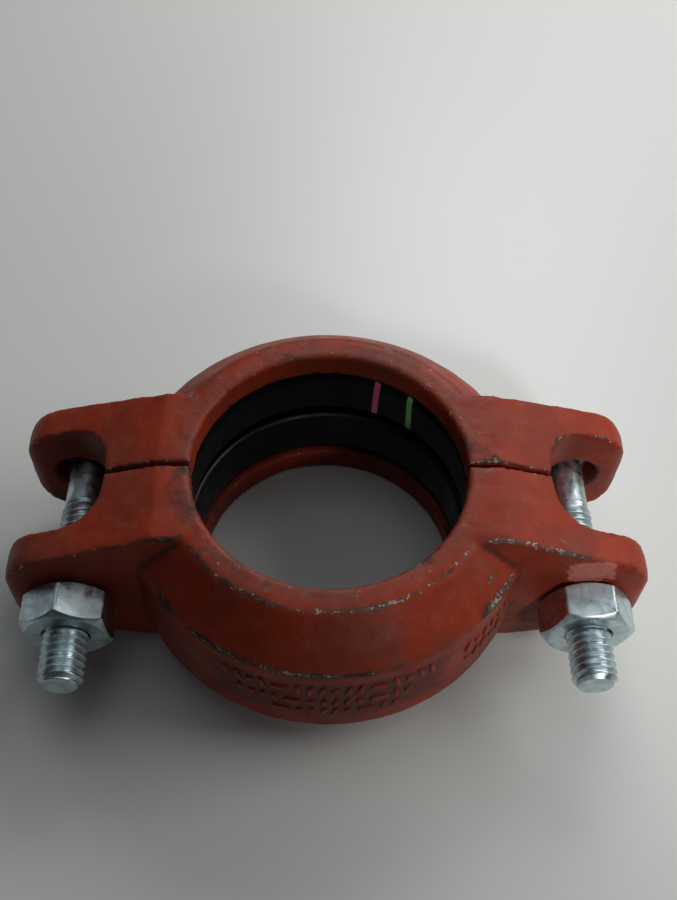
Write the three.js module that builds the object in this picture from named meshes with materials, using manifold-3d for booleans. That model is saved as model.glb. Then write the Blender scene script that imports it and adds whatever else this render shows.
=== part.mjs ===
// Two-bolt grooved pipe coupling for 2 inch pipe.
// Two identical cast housings meet at pads on either side of the pipe, grip the grooves of two pipe
// ends with their keys, and squeeze a rubber gasket over the joint. Oval-neck bolts and hex nuts
// draw them together. Millimetres, +Z up along the pipe, bolts along Y, nuts on the -Y side.
// Every piece is built about the coupling's mid-plane, and the last group lifts it onto Z = 0.
import * as THREE from "three";
import { mergeVertices } from "three/addons/utils/BufferGeometryUtils.js";
import Module from "manifold-3d";

const wasm = await Module();
wasm.setup();

// ---- Ring of the two housings ----
const KEY_RADIUS = 28.8; // inner edge of the keys, in the pipe's groove
const RING_WIDTH = 43.0; // along the pipe
const RIM_WIDTH = 5.5; // flat side face, from the key bore outwards
const SHOULDER_RUN = 9.2; // how far along the pipe each sloping shoulder runs
const KEY_WIDTH = 6.4; // along the pipe
const KEY_HEIGHT = 3.6; // straight inner side of a key
const POCKET_DEPTH = 11.0; // from the key radius out to the pocket's wall
const POCKET_SLOPE = 5.3; // run of the pocket's sloping sides along the pipe
const WALL = 4.1; // iron between the pocket and the outside
const EDGE_ROUND = 1.2; // cast edges
const RIM_BEVEL = 0.6; // bore edges of the side faces
const PARTING_GAP = 1.0; // between facing pads

// ---- Bolt lugs ----
const PAD_WIDTH = 18.0; // contact pad, from the key radius out to its side wall
const PAD_INSET = 7.4; // from that wall out to the bolt axis
const PAD_DRAFT = 0.5; // lean of the wall
const LUG_REACH = 13.8; // from a bolt axis to the lug's end
const LUG_OUTER = 20.2; // nut seat from the parting plane
const LUG_DRAFT = 1.8; // how far the outer face falls back from the seat to its upper and lower edge
const LUG_THICKNESS = 8.2; // at the seat
const LUG_CORNER = 4.0; // end corners, seen along the pipe
const NOTCH_FILLET = 8.5; // from the wall to the lug's inner face
const TAPER_START = 6.7; // from the key radius out to where the lug starts to narrow
const TIP_DROP = 7.2; // how far the lug has narrowed where its round end starts
const TIP_START = 5.3; // that place, out from the bolt axis
const TIP_LEAN = 2.5; // further fall of the round end's curve

// ---- Bolts ----
const THREAD_RADIUS = 4.7;
const SHANK_RADIUS = 4.3;
const BOLT_LENGTH = 60.3; // under the head
const THREAD_LENGTH = 42.8;
const TIP_BEVEL = 1.1;
const NECK_WIDTH = 13.8; // oval neck, across the pipe
const NECK_LENGTH = 4.4;
const NECK_CLEARANCE = 0.5; // all round, in the slot
const HEAD_RADIUS = 8.2;
const HEAD_RIM = 2.0; // straight edge of the head
const HEAD_HEIGHT = 5.6;

// ---- Nuts ----
const NUT_FLATS = 17.46;
const NUT_HEIGHT = 8.4;
const NUT_BEVEL = 1.9; // how far the end bevel runs in from a corner
const NUT_BEVEL_SLOPE = 0.62;
const SEAT_MARGIN = 0.9; // flat seat left round a nut's corners
const THREAD_CLEARANCE = 0.35; // bore over thread
const NUT_TURN_LEFT = 24.4; // degrees that a flat leans from straight up, towards +X
const NUT_TURN_RIGHT = -4.2;
const SEAT_GAP = 0.3; // under nuts and heads

// ---- Gasket ----
const GASKET_CLEARANCE = 0.4; // to the pocket and the keys
const LIP_SETBACK = 0.6; // sealing lips, outside the key radius
const LIP_OPENING = 2.6; // between the two lips, along the pipe
const LIP_THICKNESS = 2.6;
const LIP_FLARE = 0.5; // the lip's inner end stands this much further out
const LIP_GROOVE = 3.0; // from the back of a lip to the gasket's outer wall
const GROOVE_END = 5.0; // rubber left between the lip groove and the gasket's side
const LIP_EDGE = 0.8;
const LIP_MOUTH = 2.6; // lead-in bevel at the lip's outer end, along the pipe

// ---- Fineness ----
const RING_SEGMENTS = 96;
const BOLT_SEGMENTS = 32;
const CURVE_STEPS = 8;
const BEYOND = 2; // how far a cutting body runs past the solid

const pocketRadius = KEY_RADIUS + POCKET_DEPTH;
const ringRadius = pocketRadius + WALL;
const padX = KEY_RADIUS + PAD_WIDTH;
const boltX = padX + PAD_INSET;
const endX = boltX + LUG_REACH;
const halfWidth = RING_WIDTH / 2;
const keyFace = halfWidth - KEY_WIDTH;
const keyBack = KEY_RADIUS + KEY_HEIGHT;
const halfPocket = keyFace - POCKET_SLOPE;
const neckHeight = 2 * THREAD_RADIUS;
const nutCorner = NUT_FLATS / Math.sqrt(3);

// ---- Solids ----
function toManifold(geometry) {
  const bare = geometry.clone();
  bare.deleteAttribute("normal");
  bare.deleteAttribute("uv");
  const merged = mergeVertices(bare, 1e-4);
  const mesh = new wasm.Mesh({
    numProp: 3,
    vertProperties: new Float32Array(merged.attributes.position.array),
    triVerts: new Uint32Array(merged.index.array),
  });
  return new wasm.Manifold(mesh);
}

function toGeometry(solid) {
  const mesh = solid.getMesh();
  const geometry = new THREE.BufferGeometry();
  geometry.setAttribute("position", new THREE.BufferAttribute(mesh.vertProperties, 3));
  geometry.setIndex(new THREE.BufferAttribute(mesh.triVerts, 1));
  geometry.computeVertexNormals();
  return geometry;
}

// Turns an outline of [radius, height] points about Z. The points run upwards on the outside.
function turned(points, segments = RING_SEGMENTS) {
  const outline = points.map(([radius, height]) => new THREE.Vector2(radius, height));
  return new THREE.LatheGeometry(outline, segments).rotateX(Math.PI / 2);
}

// Turns an outline about Y instead, for the bolts and nuts.
function turnedAlongY(points, segments = BOLT_SEGMENTS) {
  const outline = points.map(([radius, along]) => new THREE.Vector2(radius, along));
  return new THREE.LatheGeometry(outline, segments);
}

// Sweeps a shape drawn in X and Z along Y, from the larger y down to the smaller. Its ends can be
// rounded, over a length along Y and by a smaller amount across it.
function sweptAlongY(shape, fromY, toY, bevel = 0, bevelAcross = bevel) {
  const options = {
    depth: fromY - toY - 2 * bevel,
    curveSegments: CURVE_STEPS,
    bevelEnabled: bevel > 0,
    bevelThickness: bevel,
    bevelSize: bevelAcross,
    bevelOffset: -bevelAcross,
    bevelSegments: 2,
  };
  const geometry = new THREE.ExtrudeGeometry(shape, options);
  return geometry.translate(0, 0, bevel - fromY).rotateX(Math.PI / 2);
}

// Points of an outline followed by their mirror image across the mid-plane, for a closed section.
function mirrored(upperHalf) {
  const lowerHalf = upperHalf.map(([radius, height]) => [radius, -height]);
  return [...lowerHalf.reverse(), ...upperHalf];
}

// A rounded corner of an outline, drawn from one side's point to the other's.
function roundedCorner(from, corner, to) {
  const asVector = ([x, y]) => new THREE.Vector2(x, y);
  const curve = new THREE.QuadraticBezierCurve(asVector(from), asVector(corner), asVector(to));
  return curve.getPoints(3).map((point) => [point.x, point.y]);
}

// ---- Housings ----
// The ring as a full turned body, before its bore and pocket are cut.
function ringBody() {
  const rimRadius = KEY_RADIUS + RIM_WIDTH;
  const shoulderStart = halfWidth - SHOULDER_RUN;
  const slope = (ringRadius - rimRadius) / SHOULDER_RUN;
  const shoulder = roundedCorner(
    [ringRadius, shoulderStart - EDGE_ROUND],
    [ringRadius, shoulderStart],
    [ringRadius - slope * EDGE_ROUND, shoulderStart + EDGE_ROUND],
  );
  const rim = roundedCorner(
    [rimRadius + slope * EDGE_ROUND, halfWidth - EDGE_ROUND],
    [rimRadius, halfWidth],
    [rimRadius - EDGE_ROUND, halfWidth],
  );
  return turned(mirrored([...shoulder, ...rim, [0, halfWidth]]));
}

// What the pipe and the gasket leave free: the key bores, their bevels and the pocket between them.
function ringCore() {
  const upper = [
    [pocketRadius, halfPocket],
    [keyBack, keyFace],
    [KEY_RADIUS, keyFace],
    [KEY_RADIUS, halfWidth - RIM_BEVEL],
    [KEY_RADIUS + RIM_BEVEL + BEYOND, halfWidth + BEYOND],
    [0, halfWidth + BEYOND],
  ];
  return turned(mirrored(upper));
}

// A lug seen along the pipe: pad, side wall, notch fillet and a bar of even thickness.
function lugPlan() {
  const innerY = LUG_THICKNESS - LUG_OUTER;
  const cornerX = endX - LUG_CORNER;
  const filletX = padX + PAD_DRAFT + NOTCH_FILLET;
  const plan = new THREE.Shape();
  plan.moveTo(KEY_RADIUS, BEYOND);
  plan.lineTo(KEY_RADIUS, -LUG_OUTER);
  plan.absarc(cornerX, LUG_CORNER - LUG_OUTER, LUG_CORNER, -Math.PI / 2, 0, false);
  plan.absarc(cornerX, innerY - LUG_CORNER, LUG_CORNER, 0, Math.PI / 2, false);
  plan.absarc(filletX, innerY + NOTCH_FILLET, NOTCH_FILLET, -Math.PI / 2, -Math.PI, true);
  plan.lineTo(padX, 0);
  plan.lineTo(padX, BEYOND);
  return plan;
}

// The same lug seen along the bolt: full height at the ring, narrowing to a round end.
function lugElevation() {
  const taperX = KEY_RADIUS + TAPER_START;
  const tipX = boltX + TIP_START;
  const tip = halfWidth - TIP_DROP;
  const swell = tip - TIP_LEAN;
  const elevation = new THREE.Shape();
  elevation.moveTo(KEY_RADIUS, -halfWidth);
  elevation.lineTo(taperX, -halfWidth);
  elevation.lineTo(tipX, -tip);
  elevation.quadraticCurveTo(endX, -swell, endX, 0);
  elevation.quadraticCurveTo(endX, swell, tipX, tip);
  elevation.lineTo(taperX, halfWidth);
  elevation.lineTo(KEY_RADIUS, halfWidth);
  return elevation;
}

// The lug seen from its end, as height and y: a flat seat for the nut, with drafted faces beyond it.
function lugEnd() {
  const seat = nutCorner + SEAT_MARGIN;
  const edgeY = LUG_DRAFT - LUG_OUTER;
  const end = new THREE.Shape();
  end.moveTo(-halfWidth, BEYOND);
  end.lineTo(-halfWidth, edgeY);
  end.lineTo(-seat, -LUG_OUTER);
  end.lineTo(seat, -LUG_OUTER);
  end.lineTo(halfWidth, edgeY);
  end.lineTo(halfWidth, BEYOND);
  return end;
}

// Round-ended oval across the bolt axis, for a bolt's neck and for the slot that holds it.
function ovalShape(width, height) {
  const straight = (width - height) / 2;
  const oval = new THREE.Shape();
  oval.absarc(boltX + straight, 0, height / 2, -Math.PI / 2, Math.PI / 2, false);
  oval.absarc(boltX - straight, 0, height / 2, Math.PI / 2, (3 * Math.PI) / 2, false);
  return oval;
}

function rightLug() {
  const plain = (depth) => ({ depth, curveSegments: CURVE_STEPS, bevelEnabled: false });
  const plan = new THREE.ExtrudeGeometry(lugPlan(), plain(RING_WIDTH + 2 * BEYOND));
  plan.translate(0, 0, -halfWidth - BEYOND);
  const end = new THREE.ExtrudeGeometry(lugEnd(), plain(endX + BEYOND)).rotateY(Math.PI / 2);
  const edge = LUG_DRAFT + EDGE_ROUND;
  const elevation = sweptAlongY(lugElevation(), edge + BEYOND, -LUG_OUTER, edge, EDGE_ROUND);
  const slotWidth = NECK_WIDTH + 2 * NECK_CLEARANCE;
  const slotHeight = neckHeight + 2 * NECK_CLEARANCE;
  const slot = sweptAlongY(ovalShape(slotWidth, slotHeight), -BEYOND, -LUG_OUTER - BEYOND);
  const bar = toManifold(plan).intersect(toManifold(end)).intersect(toManifold(elevation));
  return toGeometry(bar.subtract(toManifold(slot)));
}

// The front housing. Turned half round the pipe it is the rear one.
function housingGeometry() {
  const right = rightLug();
  const left = right.clone().rotateY(Math.PI);
  const cutSize = 4 * boltX;
  const parting = new THREE.BoxGeometry(cutSize, cutSize, cutSize);
  parting.translate(0, cutSize / 2 - PARTING_GAP / 2, 0);
  const body = toManifold(ringBody()).add(toManifold(right)).add(toManifold(left));
  return toGeometry(body.subtract(toManifold(ringCore())).subtract(toManifold(parting)));
}

// ---- Gasket ----
// A C-shaped section whose two long lips lie on the pipe ends.
function gasketGeometry() {
  const outer = pocketRadius - GASKET_CLEARANCE;
  const lipRadius = KEY_RADIUS + LIP_SETBACK;
  const lipEnd = keyFace - GASKET_CLEARANCE;
  const lipStart = LIP_OPENING / 2;
  const flaredRadius = lipRadius + LIP_FLARE;
  const lipBack = flaredRadius + LIP_THICKNESS;
  const grooveTop = lipEnd - GROOVE_END;
  const upperOuter = [
    [outer, halfPocket - GASKET_CLEARANCE],
    [keyBack, lipEnd],
    [lipRadius + LIP_EDGE, lipEnd],
    [lipRadius, lipEnd - LIP_MOUTH],
  ];
  const upperInner = [
    [flaredRadius, lipStart + LIP_EDGE],
    [flaredRadius + LIP_EDGE, lipStart],
    [lipBack, lipStart + LIP_EDGE],
    [lipBack, grooveTop],
    [lipBack + LIP_GROOVE, grooveTop - LIP_EDGE],
  ];
  const section = mirrored([...upperOuter, ...upperInner]);
  return turned([...section, section[0]]);
}

// ---- Fasteners ----
// A bolt on the +X side: domed round head at the back, oval neck, shank, thread and bevelled tip.
function boltGeometry() {
  const seat = LUG_OUTER + SEAT_GAP;
  const tip = seat - BOLT_LENGTH;
  const threadStart = tip + THREAD_LENGTH;
  const stem = [
    [0, tip],
    [THREAD_RADIUS - TIP_BEVEL, tip],
    [THREAD_RADIUS, tip + TIP_BEVEL],
    [THREAD_RADIUS, threadStart],
    [SHANK_RADIUS, threadStart + TIP_BEVEL],
    [SHANK_RADIUS, seat + HEAD_RIM / 2],
    [0, seat + HEAD_RIM / 2],
  ];
  const headTop = seat + HEAD_HEIGHT;
  const dome = roundedCorner([HEAD_RADIUS, seat + HEAD_RIM], [HEAD_RADIUS, headTop], [0, headTop]);
  const head = [[0, seat], [HEAD_RADIUS - HEAD_RIM / 4, seat], [HEAD_RADIUS, seat + HEAD_RIM / 4], ...dome];
  const neck = sweptAlongY(ovalShape(NECK_WIDTH, neckHeight), seat + HEAD_RIM / 2, seat - NECK_LENGTH);
  const stemSolid = toManifold(turnedAlongY(stem).translate(boltX, 0, 0));
  const headSolid = toManifold(turnedAlongY(head).translate(boltX, 0, 0));
  return toGeometry(stemSolid.add(headSolid).add(toManifold(neck)));
}

// A hex nut about its own axis along Y, with a flat straight up and both ends bevelled.
function nutGeometry() {
  const hexagon = new THREE.Shape();
  for (let side = 0; side < 6; side += 1) {
    const angle = (side * Math.PI) / 3;
    const point = [nutCorner * Math.cos(angle), nutCorner * Math.sin(angle)];
    if (side === 0) hexagon.moveTo(...point);
    else hexagon.lineTo(...point);
  }
  const bore = new THREE.Path();
  bore.absarc(0, 0, THREAD_RADIUS + THREAD_CLEARANCE, 0, 2 * Math.PI, true);
  hexagon.holes.push(bore);
  const prism = sweptAlongY(hexagon, NUT_HEIGHT, 0);
  const faceRadius = nutCorner - NUT_BEVEL;
  const wideRadius = nutCorner + NUT_BEVEL;
  const bevelHeight = (wideRadius - faceRadius) * NUT_BEVEL_SLOPE;
  const envelope = [
    [0, 0],
    [faceRadius, 0],
    [wideRadius, bevelHeight],
    [wideRadius, NUT_HEIGHT - bevelHeight],
    [faceRadius, NUT_HEIGHT],
    [0, NUT_HEIGHT],
  ];
  const bevelled = toManifold(prism).intersect(toManifold(turnedAlongY(envelope)));
  return toGeometry(bevelled).translate(0, -NUT_HEIGHT, 0);
}

// ---- Assembly ----
function material(name, color, roughness, metalness) {
  return new THREE.MeshStandardMaterial({ name, color, roughness, metalness });
}

const paint = () => material("painted_iron", 0xa33a22, 0.55, 0);
const rubber = () => material("gasket_rubber", 0x0c0d0e, 0.35, 0);
const zinc = () => material("zinc_plate", 0xaeb4ba, 0.35, 1);

function piece(name, geometry, finish) {
  const mesh = new THREE.Mesh(geometry, finish);
  mesh.name = name;
  return mesh;
}

const frontHousing = piece("front_housing", housingGeometry(), paint());
const rearHousing = piece("rear_housing", housingGeometry(), paint());
rearHousing.rotation.z = Math.PI;

const gasket = piece("gasket", gasketGeometry(), rubber());

const rightBolt = piece("bolt_right", boltGeometry(), zinc());
const leftBolt = piece("bolt_left", boltGeometry().translate(-2 * boltX, 0, 0), zinc());

const nutSeat = -LUG_OUTER - SEAT_GAP;
const rightNut = piece("nut_right", nutGeometry(), zinc());
rightNut.position.set(boltX, nutSeat, 0);
rightNut.rotation.y = THREE.MathUtils.degToRad(NUT_TURN_RIGHT);
const leftNut = piece("nut_left", nutGeometry(), zinc());
leftNut.position.set(-boltX, nutSeat, 0);
leftNut.rotation.y = THREE.MathUtils.degToRad(NUT_TURN_LEFT);

const group = new THREE.Group();
group.position.z = halfWidth;
group.add(rearHousing, frontHousing, gasket, leftBolt, rightBolt, leftNut, rightNut);
group.updateMatrixWorld(true);

export default group;
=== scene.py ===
# %% [markdown]
# # A two-bolt grooved pipe coupling
# Two iron castings close round a rubber gasket and grip the grooves of two pipe ends. Two bolts with
# hex nuts draw them together. This lesson dresses the plain model of that coupling: it loads the
# frame that the design was packed in, and then makes each piece again with soft cast corners, real
# threads and worn paint. Every length is in metres, +Z runs along the pipe, and the nuts face -Y.

# %% Load the frame
import math

import bmesh
import bpy
import numpy as np
from mathutils import Matrix, Vector, noise


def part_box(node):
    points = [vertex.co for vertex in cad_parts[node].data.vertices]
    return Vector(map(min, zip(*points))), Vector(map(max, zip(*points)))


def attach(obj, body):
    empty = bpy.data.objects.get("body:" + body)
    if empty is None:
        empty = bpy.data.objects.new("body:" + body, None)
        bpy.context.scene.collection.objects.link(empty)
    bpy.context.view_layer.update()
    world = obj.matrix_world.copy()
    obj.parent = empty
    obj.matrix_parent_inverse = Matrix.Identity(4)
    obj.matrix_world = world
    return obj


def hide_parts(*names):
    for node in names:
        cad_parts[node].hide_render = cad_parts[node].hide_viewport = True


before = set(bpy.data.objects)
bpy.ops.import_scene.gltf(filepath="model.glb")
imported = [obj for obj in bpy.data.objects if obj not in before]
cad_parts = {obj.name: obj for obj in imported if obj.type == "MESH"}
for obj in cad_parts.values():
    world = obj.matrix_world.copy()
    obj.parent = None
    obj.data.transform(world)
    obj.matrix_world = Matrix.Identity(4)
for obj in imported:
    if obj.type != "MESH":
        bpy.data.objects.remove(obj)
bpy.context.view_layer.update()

MM = 0.001

# %% [markdown]
# ## Read the driving sizes off the frame
# A visual piece has to sit exactly where the designed piece sits. Copying numbers by hand goes wrong
# as soon as the design changes, so the overall sizes are measured from the boxes of the packed
# pieces. Only what a box can't tell, such as a thread's pitch, is a named value here.

# %% Measure the ring, the lugs and the bolts
def box_mm(node):
    """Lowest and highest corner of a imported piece, in millimetres."""
    low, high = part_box(node)
    return [value / MM for value in low], [value / MM for value in high]


housing_low, housing_high = box_mm("front_housing")
gasket_low, gasket_high = box_mm("gasket")
bolt_low, bolt_high = box_mm("bolt_right")
nut_low, nut_high = box_mm("nut_right")

ring_width = housing_high[2]
ring_radius = -housing_low[1]
mid_z = ring_width / 2
bolt_x = (bolt_low[0] + bolt_high[0]) / 2
head_radius = (bolt_high[0] - bolt_low[0]) / 2
bolt_tip = bolt_low[1]
bolt_top = bolt_high[1]
nut_front = nut_low[1]
nut_seat = nut_high[1]
gasket_radius = gasket_high[0]
gasket_half = (gasket_high[2] - gasket_low[2]) / 2
print("ring radius", round(ring_radius, 2), "width", round(ring_width, 2), "bolt x", round(bolt_x, 2))

# %% [markdown]
# ## Camera
# The coupling is looked at from above and in front, with the two bolt ends nearest. The camera is
# placed by turning about a point on the table: pitch is how far it looks down, yaw how far it has
# walked round, and roll how far it leans. Three angles are easier to correct than a matrix.

# %% Place the camera
LOOK_AT = Vector((3.19, 33.88, 0.0)) * MM
DISTANCE = 278.65 * MM
PITCH = math.radians(54.58)
YAW = math.radians(-2.47)
ROLL = math.radians(2.29)
SENSOR = 36.0
FOCAL_SHARE = 1.2033  # focal length over the picture's long side


def camera_axes(pitch, yaw, roll):
    """Right, up and backward directions of a camera, as unit vectors."""
    flat = math.cos(pitch)
    back = Vector((math.sin(yaw) * flat, -math.cos(yaw) * flat, math.sin(pitch)))
    level_right = Vector((0, 0, 1)).cross(back).normalized()
    level_up = back.cross(level_right)
    right = math.cos(roll) * level_right + math.sin(roll) * level_up
    up = math.cos(roll) * level_up - math.sin(roll) * level_right
    return right, up, back


camera_data = bpy.data.cameras.new("camera")
camera_data.sensor_width = SENSOR
camera_data.lens = SENSOR * FOCAL_SHARE
camera = bpy.data.objects.new("camera", camera_data)
right, up, back = camera_axes(PITCH, YAW, ROLL)
camera.matrix_world = Matrix((right, up, back)).transposed().to_4x4()
camera.location = LOOK_AT + back * DISTANCE
bpy.context.scene.collection.objects.link(camera)
bpy.context.scene.camera = camera
print("camera at", [round(value / MM) for value in camera.location], "mm")

# %% [markdown]
# ## Table and light
# The object lies on a pale, slightly satin table. A broad window lamp stands to its right and two
# smaller lamps behind it, so the top faces and the right-hand side glow while the side towards the
# viewer falls into shade. Weak bluish lamps and a faint sky fill that shade, and give the shiny zinc
# something to show. A soft spot from the front picks out the right-hand lug and its nut.

# %% Build the table and the lamps
def plain_material(name, color, roughness):
    """A material with one Principled shader; its nodes are the place to build on."""
    material = bpy.data.materials.new(name)
    material.use_nodes = True
    shader = material.node_tree.nodes["Principled BSDF"]
    shader.inputs["Base Color"].default_value = (*color, 1)
    shader.inputs["Roughness"].default_value = roughness
    return material


table_mesh = bpy.data.meshes.new("table")
table_bm = bmesh.new()
bmesh.ops.create_grid(table_bm, x_segments=1, y_segments=1, size=1.6)
table_bm.to_mesh(table_mesh)
table_bm.free()
table = bpy.data.objects.new("table", table_mesh)
table_mesh.materials.append(plain_material("table", (0.60, 0.61, 0.59), 0.42))
bpy.context.scene.collection.objects.link(table)


def hang_lamp(lamp_data, place, aim):
    """Puts a lamp at one point, shining towards another."""
    lamp = bpy.data.objects.new(lamp_data.name, lamp_data)
    lamp.location = place
    lamp.rotation_euler = (Vector(aim) - lamp.location).to_track_quat("-Z", "Y").to_euler()
    bpy.context.scene.collection.objects.link(lamp)


def area_lamp(name, place, size, power, color=(1, 1, 1)):
    """A square soft lamp that shines on the coupling."""
    lamp_data = bpy.data.lights.new(name, "AREA")
    lamp_data.shape = "SQUARE"
    lamp_data.size = size
    lamp_data.energy = power
    lamp_data.color = color
    hang_lamp(lamp_data, place, AIM)


AIM = (0.02, 0, 0.02)
RIGHT_LUG = (0.068, -0.015, 0.02)
COOL_WHITE = (0.94, 0.98, 1.0)
SKY_BLUE = (0.86, 0.95, 1.0)
area_lamp("window", (0.90, 0.10, 0.60), 0.60, 4.9, (1.0, 0.99, 0.97))
area_lamp("lamp_behind", (0.12, 0.42, 0.35), 0.25, 1.25)
area_lamp("lamp_behind_right", (0.35, 0.35, 0.32), 0.25, 0.45)
area_lamp("ceiling", (0.0, 0.10, 1.10), 0.60, 1.0, COOL_WHITE)
area_lamp("sky_left", (-0.50, 0.50, 0.80), 0.80, 0.50, SKY_BLUE)
area_lamp("low_left", (-0.95, 0.44, 0.10), 0.45, 0.22, (0.82, 0.93, 1.0))
area_lamp("high_right", (0.60, 0.50, 0.85), 0.30, 0.16, (0.85, 0.95, 1.0))

spot_data = bpy.data.lights.new("front_spot", "SPOT")
spot_data.energy = 8.5
spot_data.spot_size = math.radians(14)
spot_data.spot_blend = 1.0
spot_data.shadow_soft_size = 0.05
hang_lamp(spot_data, (0.24, -0.46, 0.36), RIGHT_LUG)

world = bpy.data.worlds.new("room")
world.use_nodes = True
world.node_tree.nodes["Background"].inputs["Color"].default_value = (0.80, 0.84, 0.86, 1)
world.node_tree.nodes["Background"].inputs["Strength"].default_value = 0.035
bpy.context.scene.world = world
bpy.context.scene.view_settings.view_transform = "Standard"

# %% [markdown]
# ## Tools for building materials
# Real surfaces are never one colour. Each finish here is built from the same few effects: a fine
# cast grain, a slow cloudy change of tone, worn edges and a film of dust. Each is made once as a node
# group with named inputs, so that paint, zinc and rubber can each use it with values of their own.
# The groups only work out masks, tones and heights; the shaders stay outside.

# %% Helpers for node trees
def add_node(tree, kind, **settings):
    """A new node; settings named like a property are set, all others are input values."""
    node = tree.nodes.new(kind)
    for key, value in settings.items():
        if hasattr(node, key):
            setattr(node, key, value)
        else:
            node.inputs[key.replace("_", " ")].default_value = value
    return node


def feed(tree, socket, source):
    """Joins a source socket to an input, or writes the input's value if the source is a number."""
    if isinstance(source, bpy.types.NodeSocket):
        tree.links.new(source, socket)
    else:
        socket.default_value = source


def math_node(tree, operation, first, second=0.0, clamp=False):
    """Output of a Math node."""
    node = tree.nodes.new("ShaderNodeMath")
    node.operation = operation
    node.use_clamp = clamp
    feed(tree, node.inputs[0], first)
    feed(tree, node.inputs[1], second)
    return node.outputs[0]


def mix_color(tree, factor, first, second):
    """Output of a colour Mix node."""
    node = tree.nodes.new("ShaderNodeMix")
    node.data_type = "RGBA"
    colors = [socket for socket in node.inputs if socket.type == "RGBA"]
    feed(tree, node.inputs["Factor"], factor)
    feed(tree, colors[0], first)
    feed(tree, colors[1], second)
    return next(socket for socket in node.outputs if socket.type == "RGBA")


def laid_over(tree, tone, mask, share, color):
    """A tone with a colour laid over it where a mask says, at a share of full cover."""
    return mix_color(tree, math_node(tree, "MULTIPLY", mask, share), tone, color)


def ramp(tree, source, low, high, to_low=0.0, to_high=1.0):
    """A smooth step of a value from low..high to new limits."""
    node = tree.nodes.new("ShaderNodeMapRange")
    node.interpolation_type = "SMOOTHSTEP"
    values = (source, low, high, to_low, to_high)
    for label, value in zip(("Value", "From Min", "From Max", "To Min", "To Max"), values):
        feed(tree, node.inputs[label], value)
    return node.outputs["Result"]


def noise_field(tree, place, scale, detail=3.0, roughness=0.55, distortion=0.0):
    """Value of a noise texture, about 0.5 on average."""
    node = tree.nodes.new("ShaderNodeTexNoise")
    values = (place, scale, detail, roughness, distortion)
    for label, value in zip(("Vector", "Scale", "Detail", "Roughness", "Distortion"), values):
        feed(tree, node.inputs[label], value)
    return node.outputs["Fac"]


def new_group(name, inputs, outputs):
    """An empty shader node group with named sockets, and its two end nodes."""
    tree = bpy.data.node_groups.new(name, "ShaderNodeTree")
    for label, kind, value in inputs:
        socket = tree.interface.new_socket(name=label, in_out="INPUT", socket_type=kind)
        if kind != "NodeSocketVector":
            socket.default_value = value
    for label, kind in outputs:
        tree.interface.new_socket(name=label, in_out="OUTPUT", socket_type=kind)
    return tree, tree.nodes.new("NodeGroupInput").outputs, tree.nodes.new("NodeGroupOutput").inputs


def use_group(tree, group, **values):
    """A group placed in a tree; returns its first output."""
    node = tree.nodes.new("ShaderNodeGroup")
    node.node_tree = group
    for key, value in values.items():
        feed(tree, node.inputs[key.replace("_", " ")], value)
    return node.outputs[0]


FLOAT = "NodeSocketFloat"
COLOR = "NodeSocketColor"
VECTOR = "NodeSocketVector"
print("node helpers ready")

# %% [markdown]
# ### Cast grain
# Iron poured in sand keeps the sand's grain: broad lumps, fine grains between them, and a few round
# pits where a grain came away. Three textures added together give that. Moving the mesh could do
# it too, but such fine grains would need millions of faces, so this group only drives a bump.

# %% Group: cast grain
grain_group, put, out = new_group(
    "cast grain",
    [("Place", VECTOR, None), ("Scale", FLOAT, 900.0), ("Pits", FLOAT, 0.5)],
    [("Height", FLOAT)],
)
lumps = noise_field(grain_group, put["Place"], math_node(grain_group, "MULTIPLY", put["Scale"], 0.3))
grains = noise_field(grain_group, put["Place"], put["Scale"], 4.0, 0.62)
pit_scale = math_node(grain_group, "MULTIPLY", put["Scale"], 0.42)
pit_cells = add_node(grain_group, "ShaderNodeTexVoronoi", feature="F1", Randomness=1.0)
feed(grain_group, pit_cells.inputs["Vector"], put["Place"])
feed(grain_group, pit_cells.inputs["Scale"], pit_scale)
pits = ramp(grain_group, pit_cells.outputs["Distance"], 0.05, 0.24, 1.0, 0.0)
where = ramp(grain_group, noise_field(grain_group, put["Place"], pit_scale, 1.0), 0.52, 0.62)
pits = math_node(grain_group, "MULTIPLY", pits, where)
pits = math_node(grain_group, "MULTIPLY", pits, put["Pits"])
height = math_node(grain_group, "ADD", math_node(grain_group, "MULTIPLY", lumps, 0.9), grains)
height = math_node(grain_group, "SUBTRACT", height, pits)
feed(grain_group, out["Height"], height)

# %% [markdown]
# ### Cloudy tone
# Paint thins and thickens, plating clouds over and rubber blooms. All three are a slow drift between
# two tones with a little quick mottling on top.

# %% Group: cloudy tone
tone_group, put, out = new_group(
    "cloudy tone",
    [
        ("Place", VECTOR, None),
        ("Scale", FLOAT, 60.0),
        ("Mottle", FLOAT, 0.3),
        ("First", COLOR, (1, 1, 1, 1)),
        ("Second", COLOR, (0, 0, 0, 1)),
    ],
    [("Color", COLOR)],
)
drift = noise_field(tone_group, put["Place"], put["Scale"], 2.0, 0.5, 0.4)
quick_scale = math_node(tone_group, "MULTIPLY", put["Scale"], 9.0)
quick = noise_field(tone_group, put["Place"], quick_scale, 4.0)
quick = math_node(tone_group, "MULTIPLY", math_node(tone_group, "SUBTRACT", quick, 0.5), put["Mottle"])
blend = math_node(tone_group, "ADD", ramp(tone_group, drift, 0.36, 0.64), quick, clamp=True)
feed(tone_group, out["Color"], mix_color(tone_group, blend, put["First"], put["Second"]))

# %% [markdown]
# ### Worn edges
# Handling rubs edges first. Each mesh carries a value, worked out from its own shape, that is high
# on sharp outer edges. The group breaks that value up with noise, so that the wear is ragged: in
# some places it has gone right through and in others it has hardly started.

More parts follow.
